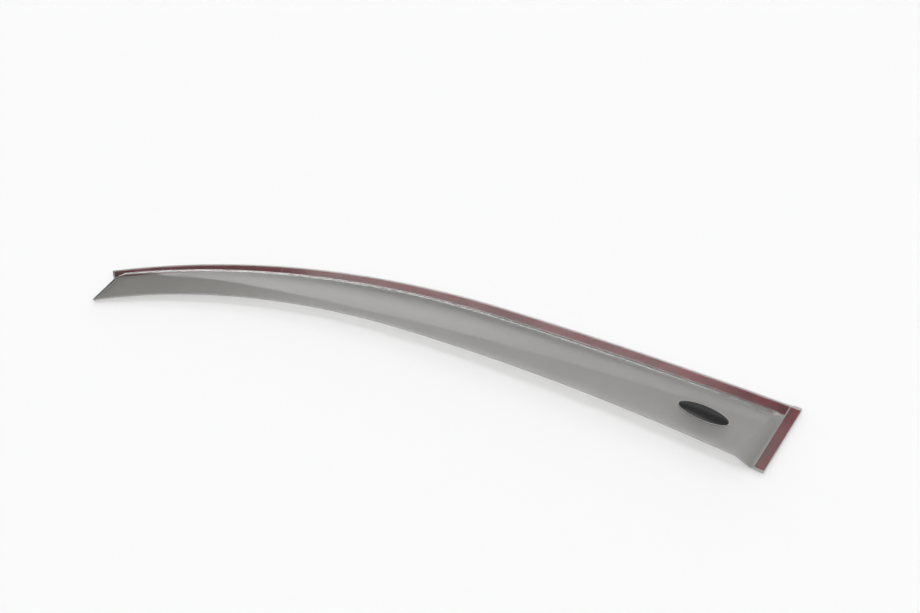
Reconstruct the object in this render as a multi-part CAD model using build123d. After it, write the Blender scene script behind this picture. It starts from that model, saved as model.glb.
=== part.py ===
from build123d import *
from math import cos, degrees, radians, sin, sqrt, tan
import os

# Sheet and adhesive
sheet = 3.0
tape_thickness = 1.2
liner_thickness = 0.2

# Plan, from near the flange's front end, X to the rear and Y to the outer edge.
# Each long edge is two tangent arcs: a front arc up to its crown and a turn past it, and a flatter
# rear arc down to the rear end. A crown leads the middle of the chord.
chord = 903.4
top_rise = 63.0
top_crown_lead = 47.7
top_turn = 7.4
top_end_drop = 1.9
lower_rise = -0.3
lower_crown_lead = 109.2
lower_turn = 5.5
end_length = 81.3

# Top flange, narrower towards the front, and the step that lifts the blade off it
flange_width = 11.9
flange_narrowing = 3.6
narrowing_length = 475.0
step_angle = 50.0
step_height = 4.12
crest_radius = 5.0
foot_radius = 2.0

# Front end: a raked edge down to the tip with a wall rising behind it, and the flange cut at a slant
front_rake = 19.3
tip_lead = 3.85
tip_drop = 51.35
tip_radius = 0.6
front_lip = 0.6
front_slope = 50.0
front_bend_radius = 38.0
flange_lead = 2.0
flange_end_angle = 132.0
flange_corner_radius = 1.2

# Rear end: a ramp down to the end flange, which stands a little proud of the top edge
end_slant = 22.4
end_flange_width = 12.0
ear_width = 8.6
ear_height = 1.2
end_corner_radius = 2.0
end_slope = 40.0
end_bend_radius = 10.0

# Blade skin: a crowned section swept along a wide leaning arc, flat at the front and leaning
# outwards along the rest of the window. Its high point lies behind the middle of the chord, and
# its height gives the step its height at the top crown.
skin_high_lag = 99.3
skin_high_inset = 128.0
skin_section_radius = 390.0
skin_sweep_rise = 15.72
skin_lean = 45.0
skin_fall = 79.0

# Tape strips, each with its liner
tape_width = 10.5
tape_outer_margin = 0.4
tape_front_margin = 0.6
tape_gap = 1.2
splice_x = 260.3
end_tape_outer_margin = 0.7
end_tape_inner_margin = 1.5
end_tape_upper_margin = 1.6
end_tape_lower_margin = 3.2

# Badge, an oval button with a domed top
badge_length = 51.4
badge_width = 18.0
badge_end_distance = 93.1
badge_inset = 32.0
badge_heading = -11.9
badge_edge = 1.4
badge_dome = 0.9
badge_dome_spread = 1.25

# Reach of the construction shapes past the part
far = 1500.0
trim_allowance = 8.0
block_height = 40.0
level_tolerance = 1.0
flange_bottom = tape_thickness + liner_thickness
flange_top = flange_bottom + sheet
front_angle = 90 - front_rake
end_angle = 270 - end_slant
flange_corner = Vector(-flange_lead, 0)
tip = Vector(-tip_lead, -tip_drop)
end_corner = Vector(chord, 0)
top_crown = Vector(chord / 2 - top_crown_lead, top_rise)
lower_crown = Vector(chord / 2 - lower_crown_lead, lower_rise)
badge_centre = end_corner - Vector(badge_end_distance, badge_inset)


def heading(angle):
    """Unit vector at an angle from the chord."""
    return Vector(cos(radians(angle)), sin(radians(angle)))


def below(joint, turn, front_radius, rear_radius):
    """Plan region below an edge of two arcs, which meet at a joint past the crown by a turn."""
    front_arc = JernArc(joint, heading(180 - turn), front_radius, degrees(far / 2 / front_radius))
    rear_arc = JernArc(joint, heading(-turn), rear_radius, -degrees(far / 2 / rear_radius))
    front_end = front_arc @ 1
    rear_end = rear_arc @ 1
    closing = Polyline(rear_end, (rear_end.X, -far), (front_end.X, -far), front_end)
    return make_face([front_arc, rear_arc, closing])


def right_of(point, angle):
    """Plan region on the right of a line through a point, looking along its angle."""
    line = Plane(point, x_dir=heading(angle), z_dir=(0, 0, 1))
    return line * Pos(0, -far / 2) * Rectangle(2 * far, far)


def two_arcs(front, crown, turn, rear):
    """Joint and radii of an edge from a front end, over its crown and on to a rear end."""
    rise = crown - front
    front_radius = rise.length**2 / (2 * rise.Y)
    joint = crown + (heading(90 - turn) - heading(90)) * front_radius
    run = rear - joint
    rear_radius = -(run.length**2) / (2 * run.dot(heading(90 - turn)))
    return joint, front_radius, rear_radius


def under_top_edge(inset):
    """Plan region under the flange's outer edge, drawn in by an inset."""
    rear = end_corner - Vector(0, top_end_drop)
    joint, front_radius, rear_radius = two_arcs(Vector(0, 0), top_crown, top_turn, rear)
    joint = joint - heading(90 - top_turn) * inset
    return below(joint, top_turn, front_radius - inset, rear_radius - inset)


def under_step_foot(inset):
    """Plan region under the foot of the step, which nears the outer edge towards the front."""
    rear = end_corner - Vector(0, top_end_drop)
    joint, front_radius, rear_radius = two_arcs(Vector(0, 0), top_crown, top_turn, rear)
    joint = joint - heading(90 - top_turn) * (flange_width + inset)
    flattening = 2 * flange_narrowing / narrowing_length**2
    front_radius = 1 / (1 / (front_radius - flange_width) - flattening)
    return below(joint, top_turn, front_radius - inset, rear_radius - flange_width - inset)


def under_lower_edge(inset):
    """Plan region below the blade's free edge, drawn in by an inset."""
    rear = end_corner + heading(end_angle) * end_length
    joint, front_radius, rear_radius = two_arcs(tip, lower_crown, lower_turn, rear)
    joint = joint + heading(90 - lower_turn) * inset
    return below(joint, lower_turn, front_radius + inset, rear_radius + inset)


def behind_front():
    """Plan region behind the raked front edge."""
    return right_of(tip, front_angle)


def ahead_of_end(inset):
    """Plan region ahead of the rear end's edge, drawn in by an inset."""
    return right_of(end_corner - heading(end_angle + 90) * inset, end_angle)


def behind_flange_cut(inset):
    """Plan region behind the slanted cut at the flange's front end."""
    return right_of(flange_corner + heading(flange_end_angle - 90) * inset, flange_end_angle)


def rounded(region, point, radius):
    """A plan region with its corner nearest to a point rounded."""
    corner = region.vertices().sort_by_distance(point)[0]
    return fillet(corner, radius)


def visor_plan():
    """Outline of the trimmed sheet."""
    front = behind_front() + behind_flange_cut(0)
    region = (under_top_edge(0) - under_lower_edge(0)) & front & ahead_of_end(0)
    ear = under_top_edge(-ear_height) & ahead_of_end(0) - ahead_of_end(ear_width)
    region = region + (ear - under_top_edge(ear_height))
    region = rounded(region, flange_corner, flange_corner_radius)
    region = rounded(region, end_corner, end_corner_radius)
    return rounded(region, tip, tip_radius)


def under_ramp(corner, angle, slope, foot_inset, depth):
    """Everything below a ramp that rises inwards from an end edge."""
    outward = heading(angle + 90)
    foot = corner - outward * (foot_inset + depth * tan(radians(slope / 2)))
    normal = outward * sin(radians(slope)) + Vector(0, 0, cos(radians(slope)))
    ramp = Plane(foot + Vector(0, 0, flange_top - depth), x_dir=heading(angle), z_dir=normal)
    return ramp * Pos(0, 0, -far / 2) * Box(2 * far, 2 * far, far)


def crowned_ring(depth):
    """The ring whose top is the blade's skin, with its high point at level zero."""
    across = Vector(skin_fall, chord).normalized()
    axis = Vector(0, 0, cos(radians(skin_lean))) - across * sin(radians(skin_lean))
    outward = Vector(0, 0, sin(radians(skin_lean))) + across * cos(radians(skin_lean))
    middle = Vector(chord / 2 + skin_high_lag, top_rise - skin_high_inset, -skin_section_radius)
    sweep_radius = chord**2 / (8 * skin_sweep_rise)
    ring = Plane(middle - outward * sweep_radius, x_dir=outward, z_dir=axis)
    section = Plane.XZ * Pos(sweep_radius, 0) * Circle(skin_section_radius - depth)
    swing = degrees(far / sweep_radius)
    return ring * revolve(Rot(0, 0, -swing / 2) * section, Axis.Z, swing)


def top_point(form, spot):
    """Highest point of a form over a spot in plan, and the normal there."""
    plumb = Axis(spot + Vector(0, 0, block_height), (0, 0, -1))
    return form.find_intersection_points(plumb)[0]


def under_blade(depth):
    """Everything below the crowned skin of the blade."""
    crest = top_crown - heading(90) * (flange_width + step_height / tan(radians(step_angle)))
    point, normal = top_point(crowned_ring(0), crest)
    return Pos(0, 0, flange_top + step_height - point.Z) * crowned_ring(depth)


def stands_above(level, edges):
    """The edges that rise from a level, without those that lie on it."""
    return edges.filter_by(lambda edge: (edge @ 0.5).Z > level + level_tolerance)


def raised_form(depth):
    """The raised form, with every face moved in by a depth and its bends rounded."""
    level = flange_top - depth
    inset = depth * tan(radians(step_angle / 2))
    block = extrude(Pos(0, 0, level) * under_step_foot(inset), block_height, taper=90 - step_angle)
    block = block & under_ramp(tip, front_angle, front_slope, front_lip, depth)
    block = block & under_ramp(end_corner, end_angle, end_slope, end_flange_width, depth)
    for corner, radius in (((0, 0, level), front_bend_radius), ((chord, 0, level), end_bend_radius)):
        foot = block.vertices().group_by(Axis.Z)[0].sort_by_distance(corner)[0]
        crease = stands_above(level, block.edges().filter_by(lambda edge: foot in edge.vertices()))
        block = fillet(crease, radius - depth)
    form = block & under_blade(depth)
    skin = form.faces().filter_by(GeomType.TORUS).sort_by(SortBy.AREA)[-1]
    return fillet(stands_above(level, skin.edges()), crest_radius - depth)


def under_skin(depth):
    """Everything below the visor's upper skin, or below its under skin at the sheet's depth."""
    level = flange_top - depth
    cut = Pos(chord / 2, 0) * Rectangle(2 * chord, chord) - under_lower_edge(-trim_allowance)
    ground = extrude(Pos(0, 0, level) * cut, -block_height)
    body = ground + (raised_form(depth) & extrude(Pos(0, 0, level) * cut, block_height))
    flange = body.faces().filter_by(Plane.XY).sort_by(Axis.Z)[-1]
    foot = flange.edges().sort_by_distance(top_crown + Vector(0, 0, level))[0]
    return fillet(foot, foot_radius + depth)


def make_visor():
    """The smoked sheet: flanges, step, blade and end ramp in one moulding."""
    return (under_skin(0) - under_skin(sheet)) & extrude(visor_plan(), block_height)


def tape_plans():
    """Plan regions of the three tape strips."""
    ramp_clear = foot_radius * tan(radians(end_slope / 2)) + end_tape_inner_margin
    end_inner = end_flange_width - ramp_clear
    top = under_top_edge(tape_outer_margin) - under_top_edge(tape_outer_margin + tape_width)
    top = top & behind_flange_cut(tape_front_margin) & ahead_of_end(end_inner + tape_gap)
    end = ahead_of_end(end_tape_outer_margin) - ahead_of_end(end_inner)
    end = end & under_top_edge(end_tape_upper_margin - ear_height)
    end = end - under_lower_edge(end_tape_lower_margin)
    front = top & right_of((splice_x - tape_gap / 2, 0), -90)
    rear = top & right_of((splice_x + tape_gap / 2, 0), 90)
    return {"top_front": front, "top_rear": rear, "end": end}


def make_badge():
    """The oval badge, seated on the blade."""
    skin = under_blade(0)
    seat, normal = top_point(skin, badge_centre)
    dome_height = badge_dome / (1 - sqrt(1 - 1 / badge_dome_spread**2))
    spread = badge_dome_spread / 2
    dome = scale(Sphere(1), (badge_length * spread, badge_width * spread, dome_height))
    dome = Pos(0, 0, badge_edge + badge_dome - dome_height) * dome
    oval = extrude(Ellipse(badge_length / 2, badge_width / 2), badge_edge + badge_dome, both=True)
    base = Pos(0, 0, -badge_edge) * Box(2 * badge_length, 2 * badge_width, 2 * badge_edge)
    button = oval & (dome + base)
    return Plane(seat, x_dir=heading(badge_heading), z_dir=normal) * button - skin


parts = {"visor": make_visor(), "badge": make_badge()}
for name, region in tape_plans().items():
    parts[f"{name}_tape"] = extrude(Pos(0, 0, liner_thickness) * region, tape_thickness)
    parts[f"{name}_liner"] = extrude(region, liner_thickness)

bounds = Compound(children=[Compound(part.solids()) for part in parts.values()]).bounding_box()
to_origin = Pos(-bounds.center().X, -bounds.center().Y, -bounds.min.Z)
os.makedirs("parts", exist_ok=True)
for name, part in parts.items():
    export_step(to_origin * part, f"parts/{name}.step")
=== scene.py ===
import math

import bmesh
import bpy
from bpy.props import FloatProperty, FloatVectorProperty, IntProperty, PointerProperty
from mathutils import Matrix, Vector


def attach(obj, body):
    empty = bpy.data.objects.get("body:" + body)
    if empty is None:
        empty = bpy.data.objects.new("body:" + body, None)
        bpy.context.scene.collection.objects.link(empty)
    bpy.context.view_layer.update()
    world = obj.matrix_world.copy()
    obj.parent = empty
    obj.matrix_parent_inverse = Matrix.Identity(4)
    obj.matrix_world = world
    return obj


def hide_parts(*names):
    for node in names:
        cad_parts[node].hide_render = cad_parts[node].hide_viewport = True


bl_info = {
    "name": "Window rain deflector",
    "version": (1, 0, 0),
    "blender": (4, 5, 0),
    "location": "3D View > Sidebar > Deflector",
    "description": "Finishes a smoked window rain deflector and sets it on a white table",
    "category": "Object",
}

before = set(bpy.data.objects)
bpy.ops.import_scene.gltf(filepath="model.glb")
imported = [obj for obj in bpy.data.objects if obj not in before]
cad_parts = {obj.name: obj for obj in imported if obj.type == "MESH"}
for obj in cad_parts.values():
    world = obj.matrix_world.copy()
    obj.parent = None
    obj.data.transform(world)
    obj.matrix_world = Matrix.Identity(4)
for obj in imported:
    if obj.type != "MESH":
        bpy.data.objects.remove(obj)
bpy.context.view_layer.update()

WHITE = (1.0, 1.0, 1.0, 1.0)

# Finer meshes.
SMOOTH_JOIN = math.radians(28)  # faces that meet at less share one normal
FLAT_BEND = 0.004  # bend in radians up to which a face counts as flat
CREASE_SINE = 0.1  # sine of the angle from which an edge is a crease
KEYS_PER_METRE = 1e7  # places in the same tenth of a micrometre are one
DOME_SPREAD = 1.25  # how far the dome's ellipse would reach past the rim
DOME_STEPS = 10
RIM_STEPS = 6
TOP_FACING = 0.6  # faces that look up more than this are the badge's top
SHARP_EDGE = math.radians(40)
WELD_GAP = 1e-6

# Noise over the part, in grains per metre.
SLOW_WAVES = {"scale": 14.0, "detail": 1.0, "stretch": (0.35, 1.0, 1.0)}
HAZE = {"scale": 60.0, "detail": 4.0, "roughness": 0.6}
HAIRS = {"scale": 240.0, "detail": 2.0, "stretch": (0.04, 1.0, 1.0)}
SAW_MARKS = {"scale": 500.0, "detail": 2.0, "stretch": (1.0, 1.0, 6.0)}
TAPE_CELLS = {"scale": 700.0, "detail": 3.0}
FILM_CLOUDS = {"scale": 24.0, "detail": 3.0, "roughness": 0.6, "stretch": (0.4, 1.0, 1.0)}
FILM_CREASES = {"scale": 420.0, "detail": 2.0, "stretch": (1.0, 0.3, 1.0)}
FILM_MOTTLE = {"scale": 350.0, "detail": 2.0}
BADGE_PEEL = {"scale": 900.0, "detail": 2.0}
BADGE_BLOOM = {"scale": 120.0, "detail": 3.0}

# Values that a noise varies, as a base and the noise's own share.
CUT_ROUGHNESS = (0.45, 0.3)
SAWN_COVER = (0.85, 0.1)
# FRONT_COVER is the share of painted dark shade on the front edge and wall.
FRONT_COVER = (0.6, 0.2)
TAPE_MILK = (0.6, 0.8)
FILM_FRESH = (0.6, 0.8)
# Share of the mottle in the film's painted shade spot.
SHADE_SPOT_MOTTLE = (0.4, 0.6)
FILM_ROUGHNESS = (0.3, 0.2)

# Acrylic: ramps over a noise, over a face's direction or over the place along the part.
ACRYLIC_IOR = 1.49
HAZE_MARKS = (0.55, 0.8)
HAIR_MARKS = (0.5, 0.7)
RUB_ROUGHNESS = 0.015
STEP_FACING = (0.30, 0.45)
# Most of the step is painted in a dark opaque shade from outside; the rest stays clear.
STEP_SHARE = 0.95
EDGE_FACING = (0.1, 0.3)
LOWER_FACING = (0.3, 0.6)
# Share of painted dark shade on the lower edge's inner side.
LOWER_INSIDE = 0.8
GLOWING_SHARE = 0.5
# Front edge and wall, painted near black as shade.
FRONT_FACING = (0.3, 0.5)
FRONT_END = (-0.36, -0.32)
# Span along the part over which the sheet is painted darker towards the front end, as shade.
FRONT_SHADE_SPAN = (-0.38, -0.08)

# Tape, film and badge: the same, with depths in metres.
TAPE_ROUGHNESS = 0.35
CLOUD_MARKS = (0.35, 0.65)
MOTTLE_MARKS = (0.3, 0.7)
# Reach of the painted shade spot on the film near the rear end.
SHADE_SPOT_REACH = (0.001, 0.006)
FILM_CREASE_DEPTH = 0.00001
# Band of the badge's rim painted pale as a highlight, by how far its normal faces up.
RIM_LOW = (0.42, 0.52)
RIM_HIGH = (0.76, 0.84)
RIM_ROUGHNESS = 0.15
RIM_METAL = 0.1
BLOOM_ROUGHNESS = 0.12
BADGE_SPECULAR = 0.3
BADGE_PEEL_DEPTH = 0.000002

# Light round the part: places across as sines, angles above the table in radians, as ramps.
FAR_LEFT = (0.64, 0.80)
FAR_LEFT_LEAN = 0.1
STRIP_FOOT = (-0.29, -0.035)
STRIP_HEAD = (-0.01, 0.012)
STRIP_LEFT = (0.1, 0.3)
STRIP_GAIN = 0.4
STRIP_FADE = (-0.12, -0.02)
STRIP_FADE_END = (0.45, 0.65)
STRIP_FADE_SHARE = 0.4
SWEEP_RIGHT = (0.10, 0.28)
SWEEP_RIGHT_LOSS = 0.7
SWEEP_LEFT_LOSS = 0.3
SWEEP_FOOT = (-0.05, 0.05)
SWEEP_HEAD = (0.36, 0.48)
SWEEP_SPILL = 0.12
NEAR_FOOT = (1.02, 1.065)
NEAR_RIGHT = (0.0, 0.2)
HIGH_FOOT = (1.14, 1.2)
HIGH_RIGHT = (0.05, 0.35)
OVERHEAD_SHARE = 0.4
OVERHEAD_LEFT = (-0.57, -0.50)
OVERHEAD_HEAD = (1.3, 1.42)
KEY_NEAR = (0.40, 0.46)
KEY_FAR = (0.58, 0.64)
KEY_WIDTH_SQUARED = (0.02, 0.04)
KEY_FOOT = (0.0, 0.1)

# Table and camera.
TABLE_REACH = 6.0
TABLE_DROP = 0.0002
SENSOR_WIDTH = 36.0
CLIP_START = 0.01
CAMERA_RIGHT = (0.93704015, 0.29709329, -0.18355202)
CAMERA_UP = (-0.17108754, 0.84874779, 0.50035612)


class Signal:
    """A shader value that adds its Math nodes when it is used in an expression."""

    def __init__(self, finish, socket):
        self.finish = finish
        self.socket = socket

    def math(self, operation, first, second):
        """A Math node on two values."""
        return self.finish.add("ShaderNodeMath", {"operation": operation}, {0: first, 1: second})

    def __add__(self, other):
        return self.math("ADD", self, other)

    def __radd__(self, other):
        return self.math("ADD", other, self)

    def __sub__(self, other):
        return self.math("SUBTRACT", self, other)

    def __rsub__(self, other):
        return self.math("SUBTRACT", other, self)

    def __mul__(self, other):
        return self.math("MULTIPLY", self, other)

    def __rmul__(self, other):
        return self.math("MULTIPLY", other, self)

    def vary(self, base, share):
        """A base with a share of this value added."""
        return base + share * self

    def output(self, name):
        """Another output of the same node."""
        return Signal(self.finish, self.socket.node.outputs[name])


class Finish:
    """A material or a world, built node by node."""

    def __init__(self, name, owner=None):
        self.material = owner or bpy.data.materials.new(name)
        self.material.use_nodes = True
        self.tree = self.material.node_tree
        self.tree.nodes.clear()

    def add(self, kind, settings=None, inputs=None, output=0):
        """Add a node, with its settings first and then its sockets' values or links."""
        node = self.tree.nodes.new(kind)
        for name, value in (settings or {}).items():
            setattr(node, name, value)
        for name, value in (inputs or {}).items():
            if isinstance(value, Signal):
                self.tree.links.new(value.socket, node.inputs[name])
            else:
                node.inputs[name].default_value = value
        return Signal(self, node.outputs[output]) if len(node.outputs) else None

    def place(self):
        """Position on the part, in metres."""
        return self.add("ShaderNodeTexCoord", output="Object")

    def stretched(self, scale):
        """Position on the part, scaled along each axis."""
        return self.add("ShaderNodeVectorMath", {"operation": "MULTIPLY"}, {
            0: self.place(), 1: scale})

    def noise(self, scale, detail, roughness=0.5, stretch=None):
        """Smooth noise over the part, about a half."""
        where = self.stretched(stretch) if stretch else self.place()
        return self.add("ShaderNodeTexNoise", None, {
            "Vector": where, "Scale": scale, "Detail": detail, "Roughness": roughness})

    def ramp(self, value, low, high):
        """A value eased from 0 at a low mark to 1 at a high mark."""
        return self.add("ShaderNodeMapRange", {"interpolation_type": "SMOOTHSTEP"}, {
            "Value": value, "From Min": low, "From Max": high, "To Min": 0.0, "To Max": 1.0})

    def between(self, value, rise, fall):
        """1 between two ramps, the first upwards and the second downwards."""
        return self.ramp(value, *rise) * (1 - self.ramp(value, *fall))

    def blend(self, mask, first, second):
        """A colour between two others."""
        return self.add("ShaderNodeMix", {"data_type": "RGBA"}, {
            "Factor": mask, "A": first, "B": second}, output="Result")

    def relief(self, height, depth):
        """A normal from a noise and its depth in metres."""
        return self.add("ShaderNodeBump", None, {
            "Strength": 1.0, "Distance": depth, "Height": height})

    def apart(self, vector):
        """The X of a vector, whose outputs Y and Z are the others."""
        return self.add("ShaderNodeSeparateXYZ", None, {0: vector})

    def size(self, value):
        """A value without its sign."""
        return self.add("ShaderNodeMath", {"operation": "ABSOLUTE"}, {0: value})

    def mix(self, mask, first, second):
        """A shader between two others."""
        return self.add("ShaderNodeMixShader", None, {0: mask, 1: first, 2: second})

    def seen_directly(self):
        """1 for what the camera sees straight, in a mirror or through glass, and 0 for light."""
        camera = self.add("ShaderNodeLightPath", output="Is Camera Ray")
        mirror = camera.output("Is Glossy Ray")
        glass = camera.output("Is Transmission Ray")
        return 1 - (1 - camera) * (1 - mirror) * (1 - glass)

    def surface(self, shader, volume=None):
        """Set what the material shows."""
        inputs = {"Surface": shader}
        if volume:
            inputs["Volume"] = volume
        self.add("ShaderNodeOutputMaterial", None, inputs)
        return self.material


def rgba(colour):
    """A colour with full opacity."""
    return (*colour, 1.0)


def dress(piece, material):
    """Put a material on a piece."""
    piece.data.materials.clear()
    piece.data.materials.append(material)


def place_key(place):
    """A place to a tenth of a micrometre, to find points that coincide."""
    return tuple(round(value * KEYS_PER_METRE) for value in place)


def handle(start, end, normals):
    """Bezier handle at the start of an edge, along the surfaces that meet there."""
    run = end - start
    crease = normals[0].cross(normals[-1])
    if crease.length > CREASE_SINE:
        crease.normalize()
        return start + crease * run.dot(crease) / 3
    normal = (normals[0] + normals[-1]).normalized()
    return start + (run - normal * run.dot(normal)) / 3


class FineMesh:
    """A finer copy of a CAD mesh, curved between its corners to follow their normals."""

    def __init__(self, mesh, steps):
        self.steps = steps
        self.points = []
        self.faces = []
        self.normals = []
        mesh.calc_loop_triangles()
        self.triangles = [self.corners(mesh, triangle) for triangle in mesh.loop_triangles]
        self.join_smoothly(mesh)
        self.weld(mesh)
        self.handles = {}
        self.edges = {}
        self.curve_edges()
        for triangle in self.triangles:
            self.fill(*triangle)
        self.keep_inside([vertex.co for vertex in mesh.vertices])

    def corners(self, mesh, triangle):
        """A triangle's corners and their normals."""
        facing = [mesh.corner_normals[loop].vector.copy() for loop in triangle.loops]
        return list(triangle.vertices), facing

    def join_smoothly(self, mesh):
        """Where smooth faces meet, give them one normal, mostly that of the flatter face."""
        facing = {}
        bend = {}
        for ids, normals in self.triangles:
            for index, normal in zip(ids, normals):
                facing[index] = normal
                turn = max(normal.angle(other) for other in normals)
                bend[index] = max(bend.get(index, 0.0), turn)
        shared = {}
        for index in facing:
            shared.setdefault(place_key(mesh.vertices[index].co), []).append(index)
        joined = {}
        for index, normal in facing.items():
            meeting = [other for other in shared[place_key(mesh.vertices[index].co)]
                       if normal.angle(facing[other]) < SMOOTH_JOIN]
            weights = [1 / (bend[other] + FLAT_BEND)**4 for other in meeting]
            parts = (facing[other] * weight for other, weight in zip(meeting, weights))
            joined[index] = sum(parts, Vector()).normalized()
        self.triangles = [(ids, [joined[index] for index in ids]) for ids, _ in self.triangles]

    def weld(self, mesh):
        """Give the corners at one place one number."""
        known = {}
        number = {}
        for vertex in mesh.vertices:
            key = place_key(vertex.co)
            if key not in known:
                known[key] = len(self.points)
                self.points.append(vertex.co.copy())
            number[vertex.index] = known[key]
        welded = [([number[index] for index in ids], facing) for ids, facing in self.triangles]
        self.triangles = [(ids, facing) for ids, facing in welded if len(set(ids)) == 3]

    def curve_edges(self):
        """Lay each edge as a curve between its corners, with new points along it."""
        facing = {}
        for ids, normals in self.triangles:
            for first, second in ((0, 1), (1, 2), (2, 0)):
                facing.setdefault((ids[first], ids[second]), []).append(normals[first])
                facing.setdefault((ids[second], ids[first]), []).append(normals[second])
        for (start, end), normals in facing.items():
            self.handles[start, end] = handle(self.points[start], self.points[end], normals)
        for start, end in [edge for edge in facing if edge[0] < edge[1]]:
            knots = (self.points[start], self.handles[start, end],
                     self.handles[end, start], self.points[end])
            row = [start]
            for step in range(1, self.steps):
                part = step / self.steps
                weights = ((1 - part)**3, 3 * part * (1 - part)**2,
                           3 * part**2 * (1 - part), part**3)
                pulls = (knot * weight for knot, weight in zip(knots, weights))
                row.append(len(self.points))
                self.points.append(sum(pulls, Vector()))
            self.edges[start, end] = row + [end]
            self.edges[end, start] = self.edges[start, end][::-1]

    def inner(self, ids, far, along, across):
        """A point inside a triangle, from its three shares."""
        first, second, third = ids
        ring = ((first, second), (second, first), (second, third),
                (third, second), (third, first), (first, third))
        corners = [self.points[index] for index in ids]
        rim = [self.handles[edge] for edge in ring]
        heart = sum(rim, Vector()) / 4 - sum(corners, Vector()) / 6
        place = corners[0] * far**3 + corners[1] * along**3 + corners[2] * across**3
        place += 3 * (rim[0] * far**2 * along + rim[1] * far * along**2)
        place += 3 * (rim[2] * along**2 * across + rim[3] * along * across**2)
        place += 3 * (rim[4] * across**2 * far + rim[5] * across * far**2)
        return place + 6 * heart * far * along * across

    def fill(self, ids, facing):
        """Cover a triangle with smaller ones."""
        first, second, third = ids
        count = self.steps
        grid = {}
        for along in range(count + 1):
            for across in range(count + 1 - along):
                far = count - along - across
                if across == 0:
                    index = self.edges[first, second][along]
                elif along == 0:
                    index = self.edges[first, third][across]
                elif far == 0:
                    index = self.edges[second, third][across]
                else:
                    index = len(self.points)
                    shares = far / count, along / count, across / count
                    self.points.append(self.inner(ids, *shares))
                normal = facing[0] * far + facing[1] * along + facing[2] * across
                grid[along, across] = index, normal.normalized()
        for along in range(count):
            for across in range(count - along):
                self.cover(grid, (along, across), (along + 1, across), (along, across + 1))
                if along + across < count - 1:
                    self.cover(grid, (along + 1, across), (along + 1, across + 1),
                               (along, across + 1))

    def cover(self, grid, *spots):
        """Lay one small triangle."""
        self.faces.append([grid[spot][0] for spot in spots])
        self.normals += [grid[spot][1] for spot in spots]

    def keep_inside(self, corners):
        """Hold every point within the CAD mesh's own box."""
        for axis in range(3):
            low = min(corner[axis] for corner in corners)
            high = max(corner[axis] for corner in corners)
            for point in self.points:
                point[axis] = min(max(point[axis], low), high)

    def build(self, name):
        """A Blender mesh with the curved normals."""
        mesh = bpy.data.meshes.new(name)
        mesh.from_pydata(self.points, [], self.faces)
        mesh.shade_smooth()
        mesh.normals_split_custom_set(self.normals)
        return mesh


class Oval:
    """The badge's rim, measured along its own axes, and the domed top inside it."""

    def __init__(self, places, up, peak):
        self.places = places
        self.up = up
        mean = sum(places, Vector()) / len(places)
        nose = max(places, key=lambda place: (place - mean).length)
        tail = max(places, key=lambda place: (place - nose).length)
        self.centre = (nose + tail) / 2
        self.long_axis = (nose - tail).normalized()
        self.short_axis = up.cross(self.long_axis)
        self.half_length = (nose - tail).length / 2
        self.half_width = max(abs(self.spot(place)[1]) for place in places)
        self.crown = peak - self.centre.dot(up)

    def spot(self, place):
        """Distances of a place from the middle, along the oval and across it."""
        away = place - self.centre
        return away.dot(self.long_axis), away.dot(self.short_axis)

    def outward(self, place):
        """Direction out of the oval at a place on its rim."""
        along, across = self.spot(place)
        return (self.long_axis * along / self.half_length**2
                + self.short_axis * across / self.half_width**2).normalized()

    def dome(self, place, part=1.0):
        """Height of the dome above the rim, a part of the way out to a place."""
        along, across = self.spot(place)
        share = math.hypot(along / self.half_length, across / self.half_width) * part
        foot = math.sqrt(1 - 1 / DOME_SPREAD**2)
        return self.crown * ((math.sqrt(1 - (share / DOME_SPREAD)**2) - foot) / (1 - foot))

    def pairs(self):
        """Each corner round the rim with the next."""
        count = len(self.places)
        return [(index, (index + 1) % count) for index in range(count)]

    def rows(self, rim):
        """Rows of places, over the rounded rim and then up the dome."""
        outward = [self.outward(place) for place in self.places]
        inside = [place - way * rim for place, way in zip(self.places, outward)]
        rows = []
        for step in range(1, RIM_STEPS + 1):
            turn = math.pi / 2 * step / RIM_STEPS
            back = rim * (1 - math.cos(turn))
            rows.append([
                place - way * back + self.up * ((rim + self.dome(inner)) * math.sin(turn) - rim)
                for place, way, inner in zip(self.places, outward, inside)])
        for step in range(1, DOME_STEPS):
            part = 1 - step / DOME_STEPS
            rows.append([
                self.centre + (inner - self.centre) * part + self.up * self.dome(inner, part)
                for inner in inside])
        return rows


def replace(node, name, mesh, scene):
    """Put a new piece in a CAD node's place."""
    piece = bpy.data.objects.new(name, mesh)
    piece.matrix_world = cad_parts[node].matrix_world
    scene.collection.objects.link(piece)
    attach(piece, "root")
    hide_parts(node)
    return piece


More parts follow.
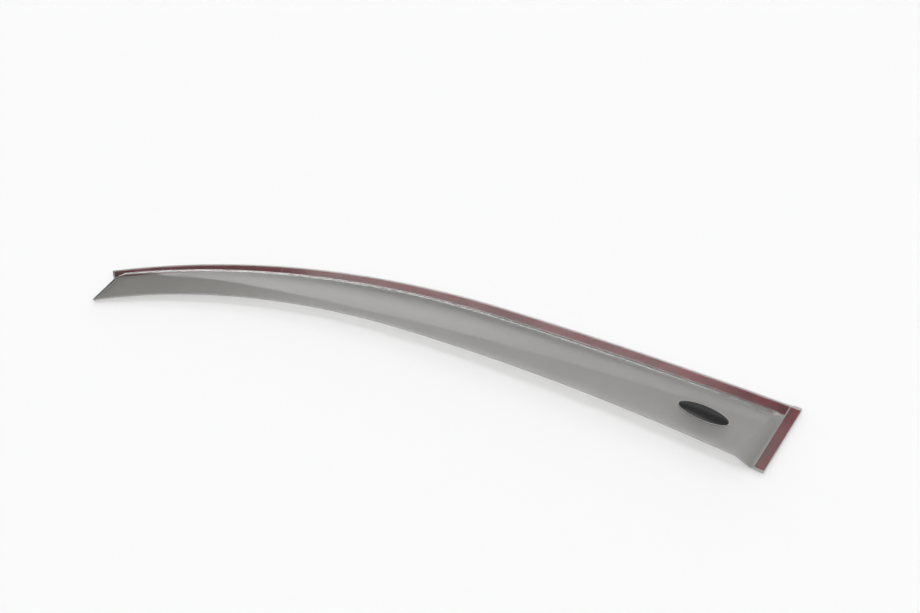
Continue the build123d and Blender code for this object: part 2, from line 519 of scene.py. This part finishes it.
class SmokedSheet(bpy.types.PropertyGroup):
    """Finish of the visor's acrylic."""

    steps: IntProperty(
        name="Steps", description="Pieces that each edge of the CAD mesh is divided into",
        min=1, default=5)
    tint: FloatVectorProperty(
        name="Tint", description="Colour that the sheet lets through", subtype="COLOR",
        min=0, max=1, default=(0.60, 0.592, 0.575))
    density: FloatProperty(
        name="Density", description="How fast the smoke darkens with thickness",
        min=0, default=375.0)
    # Painted shade: the sheet is tinted darker towards the front end, standing in for the dimmer
    # light under the low front of the blade.
    front_painted_shade_tint: FloatVectorProperty(
        name="Front tint", description="How the smoke deepens towards the front end",
        subtype="COLOR", min=0, max=1, default=(0.83, 0.825, 0.815))
    gloss_roughness: FloatProperty(
        name="Roughness", description="Roughness of the polished skin", subtype="FACTOR",
        min=0, max=1, default=0.02)
    # Painted shade: the step's colour stands in for the dark band seen through the sheet at the
    # step.
    step_painted_shade: FloatVectorProperty(
        name="Step tone", description="Colour of the step, where the smoke is seen at its deepest",
        subtype="COLOR", min=0, max=1, default=(0.115, 0.113, 0.11))
    step_roughness: FloatProperty(
        name="Step roughness", description="How dull the step's inner side is", subtype="FACTOR",
        min=0, max=1, default=0.55)
    ripple: FloatProperty(
        name="Ripple", description="Depth of the slow waves left by forming", subtype="DISTANCE",
        unit="LENGTH", default=0.00003)
    cut_edge: FloatVectorProperty(
        name="Cut edge", description="Colour of the dull trimmed edge", subtype="COLOR",
        min=0, max=1, default=(0.88, 0.865, 0.85))
    # Painted shade: the lower edge is the same sawn edge as the pale one, painted grey as shade.
    lower_edge_painted_shade: FloatVectorProperty(
        name="Lower edge", description="Colour of the lower edge, darkened by the smoke",
        subtype="COLOR", min=0, max=1, default=(0.40, 0.395, 0.385))
    # Painted shade: the front edge and wall are painted near black for the dark line seen along
    # them.
    front_edge_painted_shade: FloatVectorProperty(
        name="Front edge", description="Colour of the dark front edge", subtype="COLOR",
        min=0, max=1, default=(0.03, 0.03, 0.029))


class Adhesive(bpy.types.PropertyGroup):
    """Finish of the tape strips and their liners."""

    film: FloatVectorProperty(
        name="Film", description="Colour of the release film", subtype="COLOR",
        min=0, max=1, default=(0.68, 0.06, 0.105))
    film_worn: FloatVectorProperty(
        name="Film, dull", description="Colour of the film where the tape has dulled it",
        subtype="COLOR", min=0, max=1, default=(0.50, 0.04, 0.07))
    # Painted shade: a dark spot on the film near the rear end, where the step turns into the end
    # ramp.
    film_painted_shade: FloatVectorProperty(
        name="Film, smudge", description="Colour of the smudge near the rear end", subtype="COLOR",
        min=0, max=1, default=(0.22, 0.012, 0.025))
    painted_shade_spot: FloatVectorProperty(
        name="Smudge", description="Place of the smudge", subtype="TRANSLATION", unit="LENGTH",
        default=(0.4356, 0.0025, 0.001))
    tape: FloatVectorProperty(
        name="Tape", description="Colour of the clear tape", subtype="COLOR",
        min=0, max=1, default=(0.80, 0.74, 0.74))
    tape_haze: FloatProperty(
        name="Haze", description="How milky the clear tape is", subtype="FACTOR",
        min=0, max=1, default=0.06)


class Badge(bpy.types.PropertyGroup):
    """Finish of the oval badge."""

    face: FloatVectorProperty(
        name="Face", description="Colour of the badge", subtype="COLOR",
        min=0, max=1, default=(0.012, 0.012, 0.013))
    # Painted highlight: the pale edge colour stands in for the highlight along the badge's rounded
    # rim.
    edge: FloatVectorProperty(
        name="Edge", description="Colour of the badge's bright edge", subtype="COLOR",
        min=0, max=1, default=(0.86, 0.86, 0.86))
    roughness: FloatProperty(
        name="Roughness", description="Roughness of the badge's lacquer", subtype="FACTOR",
        min=0, max=1, default=0.10)
    rim: FloatProperty(
        name="Rim", description="Radius of the badge's rim", subtype="DISTANCE", unit="LENGTH",
        default=0.0008)


class Studio(bpy.types.PropertyGroup):
    """Table, light and camera."""

    table: FloatVectorProperty(
        name="Table", description="Colour of the table", subtype="COLOR",
        min=0, max=1, default=(0.93, 0.93, 0.93))
    table_glow: FloatProperty(
        name="Table glow", description="How far the table is lifted towards plain white",
        subtype="FACTOR", min=0, max=1, default=0.15)
    room_light: FloatProperty(
        name="Room light", description="Strength of the light from all round", min=0, default=0.56)
    strip_light: FloatProperty(
        name="Strip light", description="Strength of the long soft light behind",
        min=0, default=1.55)
    strip_top: FloatProperty(
        name="Strip top", description="Angle of the long light's upper edge above the table",
        subtype="ANGLE", unit="ROTATION", default=math.radians(46))
    sweep_light: FloatProperty(
        name="Sweep light", description="Strength of the lit sweep behind the table",
        min=0, default=9.0)
    overhead_light: FloatProperty(
        name="Overhead light", description="Strength of the soft box overhead", min=0, default=4.9)
    key_light: FloatProperty(
        name="Key light", description="Strength of the small soft box in front", min=0, default=8.0)
    lens: FloatProperty(
        name="Lens", description="Focal length on a 36 mm wide sensor", subtype="DISTANCE_CAMERA",
        unit="CAMERA", default=24.261)
    camera_place: FloatVectorProperty(
        name="Camera", description="Place of the camera", subtype="TRANSLATION", unit="LENGTH",
        default=(0.302767, -0.281925, 0.645867))


class Deflector(bpy.types.PropertyGroup):
    """Settings of the whole part."""

    sheet: PointerProperty(type=SmokedSheet)
    adhesive: PointerProperty(type=Adhesive)
    badge: PointerProperty(type=Badge)
    studio: PointerProperty(type=Studio)


class DEFLECTOR_OT_visor(bpy.types.Operator):
    """Give the visor its smoked, polished acrylic"""

    bl_idname = "deflector.visor"
    bl_label = "Smoked visor"

    def execute(self, context):
        look = context.scene.deflector.sheet
        finish = Finish("smoked_acrylic")
        along = finish.apart(finish.place())
        shader = self.trim(finish, look, along, self.skin(finish, look, along))
        smoke = finish.add("ShaderNodeVolumeAbsorption", None, {
            "Color": rgba(look.tint), "Density": look.density})
        mesh = FineMesh(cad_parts["visor"].data, look.steps).build("visor_sheet")
        sheet = replace("visor", "visor_sheet", mesh, context.scene)
        dress(sheet, finish.surface(shader, smoke))
        return {"FINISHED"}

    def skin(self, finish, look, along):
        """Polished, see-through skin, with the step painted in a dark opaque shade from outside."""
        slow = finish.noise(**SLOW_WAVES)
        haze = finish.ramp(finish.noise(**HAZE), *HAZE_MARKS)
        hairs = finish.ramp(finish.noise(**HAIRS), *HAIR_MARKS)
        smooth = finish.add("ShaderNodeNewGeometry", output="Normal")
        inside = smooth.output("Backfacing")
        step = finish.ramp(finish.size(finish.apart(smooth).output("Y")), *STEP_FACING)
        rough = look.gloss_roughness + RUB_ROUGHNESS * haze * hairs
        rough = rough + look.step_roughness * step * inside
        # Darker towards the front end: painted shade, not a change in the smoke.
        painted_front_tint = finish.blend(finish.ramp(along, *FRONT_SHADE_SPAN), rgba(look.front_painted_shade_tint), WHITE)
        clear = finish.add("ShaderNodeBsdfPrincipled", None, {
            "Base Color": painted_front_tint, "Roughness": rough, "IOR": ACRYLIC_IOR,
            "Transmission Weight": 1.0, "Normal": finish.relief(slow, look.ripple)})
        # Painted shade: an opaque dark copy of the skin, laid over the step.
        painted_step_shade = finish.add("ShaderNodeBsdfPrincipled", None, {
            "Base Color": rgba(look.step_painted_shade), "Roughness": rough, "IOR": ACRYLIC_IOR})
        return finish.mix(STEP_SHARE * step * (1 - inside), clear, painted_step_shade)

    def trim(self, finish, look, along, skin):
        """The skin with its pale sawn edges, and painted shade on some of them: a grey shaded copy
        on the lower edge outside, near black on its inner side and near black on the front edge and
        wall.
        """
        normal = finish.add("ShaderNodeNewGeometry", output="True Normal")
        facing = finish.apart(normal)
        inside = normal.output("Backfacing")
        outward = facing.output("Y") * (1 - 2 * inside)
        level = finish.size(facing.output("Z"))
        saw = finish.noise(**SAW_MARKS)
        # grey and dark are painted shade: shaded copies of the pale sawn edge.
        pale, grey, dark = [
            finish.add("ShaderNodeBsdfPrincipled", None, {
                "Base Color": rgba(colour), "Roughness": saw.vary(*CUT_ROUGHNESS)})
            for colour in (look.cut_edge, look.lower_edge_painted_shade, look.front_edge_painted_shade)]
        glowing = finish.add("ShaderNodeBsdfTranslucent", None, {"Color": rgba(look.cut_edge)})
        # Painted shade: the lower edge is grey outside and mostly dark on its inner side.
        lower = finish.mix(inside * LOWER_INSIDE, grey, dark)
        upper = finish.mix(GLOWING_SHARE, pale, glowing)
        edges = finish.mix(finish.ramp(-1 * outward, *LOWER_FACING), upper, lower)
        sawn = (1 - finish.ramp(level, *EDGE_FACING)) * saw.vary(*SAWN_COVER)
        shader = finish.mix(sawn, skin, edges)
        # Painted shade: the front edge and the wall behind it are laid over with the dark shader.
        front = finish.ramp(finish.size(facing), *FRONT_FACING)
        front = front * (1 - finish.ramp(along, *FRONT_END))
        return finish.mix(front * saw.vary(*FRONT_COVER), shader, dark)


class DEFLECTOR_OT_tapes(bpy.types.Operator):
    """Give the strips their clear tape and red release film"""

    bl_idname = "deflector.tapes"
    bl_label = "Tapes and liners"

    def execute(self, context):
        look = context.scene.deflector.adhesive
        tape = self.clear_tape(look)
        liner = self.red_liner(look)
        for strip in ("top_front", "top_rear", "end"):
            dress(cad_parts[f"{strip}_tape"], tape)
            dress(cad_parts[f"{strip}_liner"], liner)
        return {"FINISHED"}

    def clear_tape(self, look):
        """Nearly clear tape, a little milky in specks."""
        finish = Finish("clear_tape")
        milk = finish.noise(**TAPE_CELLS).vary(*TAPE_MILK)
        return finish.surface(finish.add("ShaderNodeBsdfPrincipled", None, {
            "Base Color": rgba(look.tape), "Roughness": TAPE_ROUGHNESS,
            "Alpha": look.tape_haze * milk}))

    def red_liner(self, look):
        """Red film, dulled in patches and creased, with a spot of painted shade near the rear end.
        """
        finish = Finish("red_liner")
        cloud = finish.noise(**FILM_CLOUDS)
        creases = finish.noise(**FILM_CREASES)
        mottle = finish.noise(**FILM_MOTTLE)
        specks = finish.ramp(mottle, *MOTTLE_MARKS).vary(*FILM_FRESH)
        fresh = finish.ramp(cloud, *CLOUD_MARKS) * specks
        reach = finish.add("ShaderNodeVectorMath", {"operation": "DISTANCE"}, {
            0: finish.place(), 1: look.painted_shade_spot}, output="Value")
        # Painted shade: a dark, mottled spot round a place near the rear end.
        painted_shade_spot = (1 - finish.ramp(reach, *SHADE_SPOT_REACH)) * mottle.vary(*SHADE_SPOT_MOTTLE)
        colour = finish.blend(1 - fresh, rgba(look.film), rgba(look.film_worn))
        colour = finish.blend(painted_shade_spot, colour, rgba(look.film_painted_shade))
        return finish.surface(finish.add("ShaderNodeBsdfPrincipled", None, {
            "Base Color": colour, "Roughness": cloud.vary(*FILM_ROUGHNESS),
            "Normal": finish.relief(creases, FILM_CREASE_DEPTH)}))


class DEFLECTOR_OT_badge(bpy.types.Operator):
    """Give the oval badge its black lacquer, with a painted highlight round its rim"""

    bl_idname = "deflector.badge"
    bl_label = "Oval badge"

    def execute(self, context):
        look = context.scene.deflector.badge
        finish = Finish("badge_black")
        peel = finish.noise(**BADGE_PEEL)
        bloom = finish.noise(**BADGE_BLOOM)
        normal = finish.add("ShaderNodeNewGeometry", output="Normal")
        # Painted highlight: a pale, slightly metallic band round the rim.
        edge = finish.between(finish.apart(normal).output("Z"), RIM_LOW, RIM_HIGH)
        shader = finish.add("ShaderNodeBsdfPrincipled", None, {
            "Base Color": finish.blend(edge, rgba(look.face), rgba(look.edge)),
            "Roughness": look.roughness + BLOOM_ROUGHNESS * bloom + RIM_ROUGHNESS * edge,
            "Metallic": RIM_METAL * edge, "Specular IOR Level": BADGE_SPECULAR,
            "Normal": finish.relief(peel, BADGE_PEEL_DEPTH)})
        mesh = self.button(look.rim)
        button = replace("badge", "badge_button", mesh, context.scene)
        dress(button, finish.surface(shader))
        return {"FINISHED"}

    def button(self, rim):
        """The badge with its top laid again, rounded over at the rim."""
        shape = bmesh.new()
        shape.from_mesh(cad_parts["badge"].data)
        bmesh.ops.remove_doubles(shape, verts=shape.verts, dist=WELD_GAP)
        top = [face for face in shape.faces if face.normal.z > TOP_FACING]
        up = sum((face.normal * face.calc_area() for face in top), Vector()).normalized()
        peak = max(corner.co.dot(up) for face in top for corner in face.verts)
        bmesh.ops.delete(shape, geom=top, context="FACES")
        ring = self.open_ring(shape)
        oval = Oval([corner.co.copy() for corner in ring], up, peak)
        rows = [ring] + [[shape.verts.new(place) for place in row] for row in oval.rows(rim)]
        for corner in ring:
            corner.co -= up * rim
        for low, high in zip(rows, rows[1:]):
            for index, after in oval.pairs():
                shape.faces.new((low[index], low[after], high[after], high[index]))
        middle = shape.verts.new(oval.centre + up * oval.crown)
        for index, after in oval.pairs():
            shape.faces.new((rows[-1][index], rows[-1][after], middle))
        bmesh.ops.recalc_face_normals(shape, faces=shape.faces)
        for face in shape.faces:
            face.smooth = True
        mesh = bpy.data.meshes.new("badge_button")
        shape.to_mesh(mesh)
        shape.free()
        mesh.set_sharp_from_angle(angle=SHARP_EDGE)
        return mesh

    def open_ring(self, shape):
        """The corners round an open rim, in order."""
        beside = {}
        for edge in shape.edges:
            if len(edge.link_faces) == 1:
                for corner in edge.verts:
                    beside.setdefault(corner, []).append(edge.other_vert(corner))
        ring = [next(iter(beside))]
        following = beside[ring[0]][0]
        while following != ring[0]:
            ring.append(following)
            following = next(corner for corner in beside[ring[-1]] if corner != ring[-2])
        return ring


class DEFLECTOR_OT_stage(bpy.types.Operator):
    """Set the white table, the soft light and the camera"""

    bl_idname = "deflector.stage"
    bl_label = "Table, light and camera"

    def execute(self, context):
        look = context.scene.deflector.studio
        scene = context.scene
        scene.view_settings.view_transform = "Standard"
        self.lay_table(scene, look)
        self.light(scene, look)
        self.aim(scene, look)
        return {"FINISHED"}

    def lay_table(self, scene, look):
        """A wide table, lifted a little towards white where it is seen."""
        mesh = bpy.data.meshes.new("table")
        corners = [(x * TABLE_REACH, y * TABLE_REACH, 0)
                   for x, y in ((-1, -1), (1, -1), (1, 1), (-1, 1))]
        mesh.from_pydata(corners, [], [(0, 1, 2, 3)])
        table = bpy.data.objects.new("table", mesh)
        table.location.z = -TABLE_DROP
        scene.collection.objects.link(table)
        finish = Finish("table_white")
        seen = finish.seen_directly() * look.table_glow
        shade = finish.add("ShaderNodeBsdfDiffuse", None, {"Color": rgba(look.table)})
        white = finish.add("ShaderNodeEmission", None, {"Color": WHITE, "Strength": 1.0})
        mesh.materials.append(finish.surface(finish.mix(seen, shade, white)))

    def light(self, scene, look):
        """Light from all round, brighter in four soft shapes, and white where it is seen."""
        world = bpy.data.worlds.new("soft_room")
        scene.world = world
        room = Finish("soft_room", world)
        across = room.apart(room.add("ShaderNodeTexCoord", output="Generated"))
        ahead = across.output("Y")
        above = across.output("Z")
        angle = room.add("ShaderNodeMath", {"operation": "ARCTAN2"}, {0: above, 1: ahead})
        far_left = room.ramp(-1 * across, *FAR_LEFT)
        level = (look.room_light
                 + look.strip_light * self.strip(room, across, angle, far_left, look.strip_top)
                 + look.sweep_light * self.sweep(room, across, angle, far_left)
                 + look.overhead_light * self.overhead(room, across, angle)
                 + look.key_light * self.key(room, across, ahead, above))
        lit = room.add("ShaderNodeBackground", None, {"Color": WHITE, "Strength": level})
        white = room.add("ShaderNodeBackground", None, {"Color": WHITE, "Strength": 1.0})
        seen = room.add("ShaderNodeLightPath", output="Is Camera Ray")
        room.add("ShaderNodeOutputWorld", None, {"Surface": room.mix(seen, lit, white)})

    def strip(self, room, across, angle, far_left, top):
        """A long soft light behind, brighter to the left and faded under its upper edge."""
        height = angle - FAR_LEFT_LEAN * far_left - top
        left = STRIP_GAIN * room.ramp(-1 * across, *STRIP_LEFT) + STRIP_GAIN * far_left
        fade = STRIP_FADE_SHARE * room.ramp(height, *STRIP_FADE)
        fade = fade * (1 - room.ramp(-1 * across, *STRIP_FADE_END))
        return room.between(height, STRIP_FOOT, STRIP_HEAD) * (1 + left) * (1 - fade)

    def sweep(self, room, across, angle, far_left):
        """The lit sweep behind the table, full in reflections and weak as light."""
        level = 1 - SWEEP_RIGHT_LOSS * room.ramp(across, *SWEEP_RIGHT)
        level = level * (1 - SWEEP_LEFT_LOSS * far_left)
        mirrored = room.add("ShaderNodeLightPath", output="Is Glossy Ray")
        spill = SWEEP_SPILL + (1 - SWEEP_SPILL) * mirrored
        return level * room.between(angle, SWEEP_FOOT, SWEEP_HEAD) * spill

    def overhead(self, room, across, angle):
        """A soft box overhead, in two steps."""
        near = room.ramp(angle, *NEAR_FOOT) * (1 - room.ramp(across, *NEAR_RIGHT))
        high = room.ramp(angle, *HIGH_FOOT) * (1 - room.ramp(across, *HIGH_RIGHT))
        limit = room.ramp(across, *OVERHEAD_LEFT) * (1 - room.ramp(angle, *OVERHEAD_HEAD))
        return OVERHEAD_SHARE * (near + high) * limit

    def key(self, room, across, ahead, above):
        """A small soft box in front."""
        tall = room.between(-1 * ahead, KEY_NEAR, KEY_FAR)
        wide = 1 - room.ramp(across * across, *KEY_WIDTH_SQUARED)
        return tall * wide * room.ramp(above, *KEY_FOOT)

    def aim(self, scene, look):
        """The camera, at the photo's angle."""
        right = Vector(CAMERA_RIGHT)
        up = Vector(CAMERA_UP)
        camera = bpy.data.cameras.new("camera")
        camera.sensor_fit = "HORIZONTAL"
        camera.sensor_width = SENSOR_WIDTH
        camera.lens = look.lens
        camera.clip_start = CLIP_START
        eye = bpy.data.objects.new("camera", camera)
        turn = Matrix((right, up, right.cross(up))).transposed().to_4x4()
        eye.matrix_world = Matrix.Translation(look.camera_place) @ turn
        scene.collection.objects.link(eye)
        scene.camera = eye


class DEFLECTOR_PT_panel(bpy.types.Panel):
    """Settings and steps of the deflector"""

    bl_idname = "DEFLECTOR_PT_panel"
    bl_label = "Window rain deflector"
    bl_space_type = "VIEW_3D"
    bl_region_type = "UI"
    bl_category = "Deflector"

    def draw(self, context):
        settings = context.scene.deflector
        for operator, group in STEPS:
            box = self.layout.box()
            box.operator(operator)
            values = getattr(settings, group)
            for name in values.__annotations__:
                box.prop(values, name)


STEPS = (
    ("deflector.visor", "sheet"),
    ("deflector.tapes", "adhesive"),
    ("deflector.badge", "badge"),
    ("deflector.stage", "studio"),
)
CLASSES = (
    SmokedSheet, Adhesive, Badge, Studio, Deflector,
    DEFLECTOR_OT_visor, DEFLECTOR_OT_tapes, DEFLECTOR_OT_badge, DEFLECTOR_OT_stage,
    DEFLECTOR_PT_panel,
)


def register():
    for item in CLASSES:
        bpy.utils.register_class(item)
    bpy.types.Scene.deflector = PointerProperty(type=Deflector)


def unregister():
    del bpy.types.Scene.deflector
    for item in reversed(CLASSES):
        bpy.utils.unregister_class(item)


def main():
    register()
    bpy.ops.deflector.visor()
    bpy.ops.deflector.tapes()
    bpy.ops.deflector.badge()
    bpy.ops.deflector.stage()


if __name__ == "__main__":
    main()
